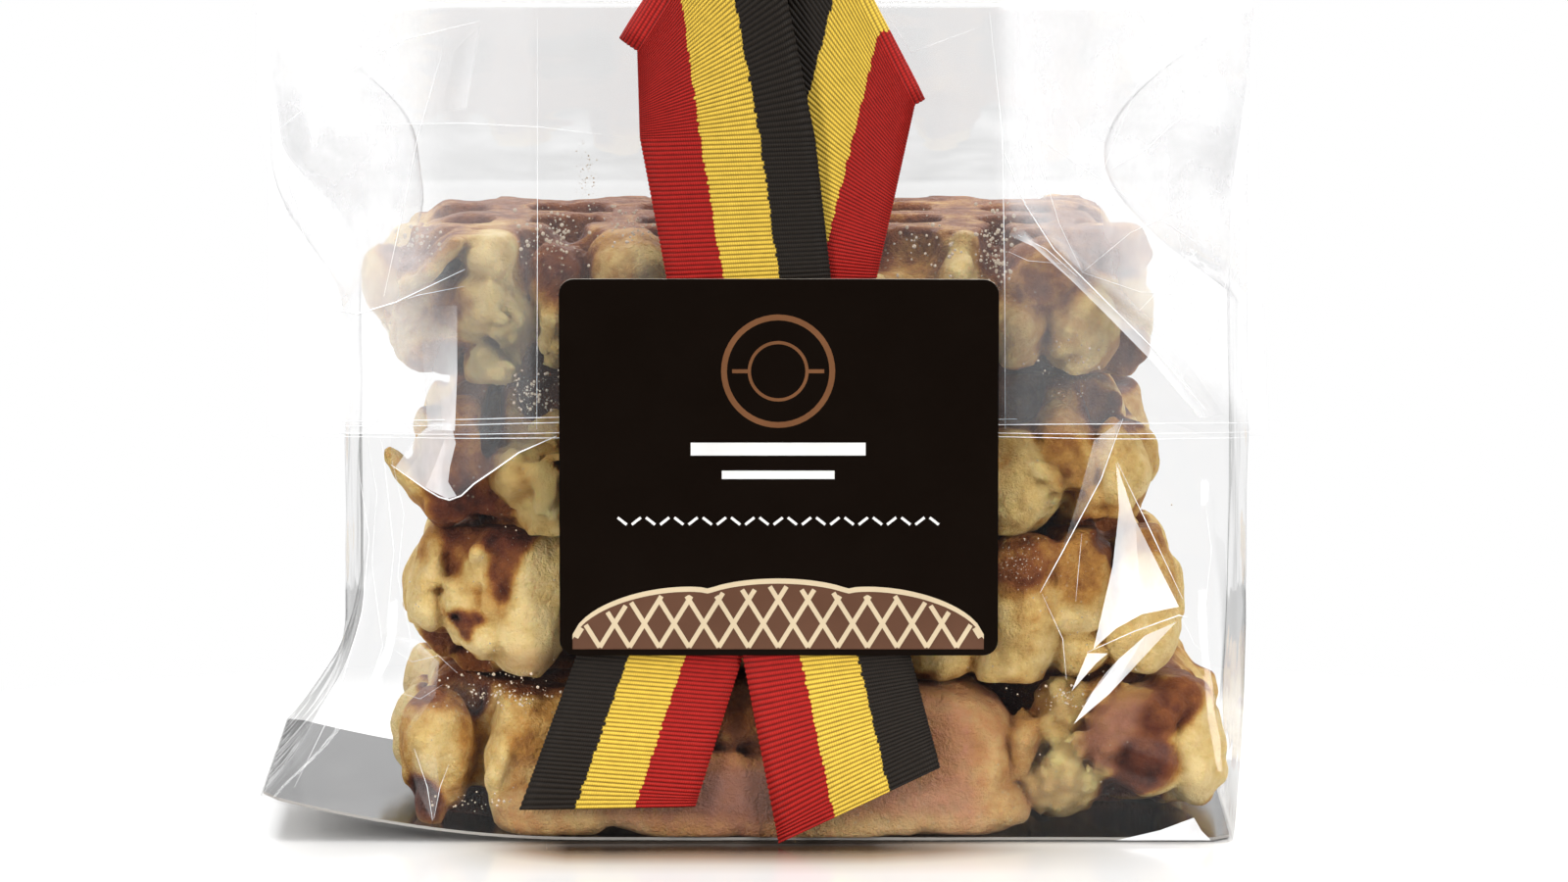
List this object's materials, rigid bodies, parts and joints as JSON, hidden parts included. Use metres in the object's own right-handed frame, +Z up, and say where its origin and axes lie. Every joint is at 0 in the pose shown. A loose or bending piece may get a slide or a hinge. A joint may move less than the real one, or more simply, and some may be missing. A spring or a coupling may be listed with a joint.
{
  "type": "clear bag of liege waffles",
  "caption": "Clear gusseted bag of stacked pearl sugar waffles on a dark card base, its top folded over the front under a square label and a striped ribbon loop.",
  "frame": {"origin": "on the surface that the pack stands on, under the middle of the bag's depth and near the middle of its width", "axes": "+X to the right of someone facing the label, +Y from the label to the back of the bag, +Z up"},
  "size_m": [0.1561, 0.0912, 0.1551],
  "materials": {
    "film": "clear glossy film with fine creases",
    "label_paper": "coated paper, satin gloss, near black",
    "ribbon_cloth": "grosgrain in three stripes, red, yellow and black",
    "waffle_crust": "baked dough, pale golden to deep caramel, with a sugar glaze",
    "base_card": "laminated card, blue black, glossy"
  },
  "bodies": {
    "root": {"bag": "film", "label": "label_paper", "ribbon": "ribbon_cloth"}
  },
  "joints": []
}
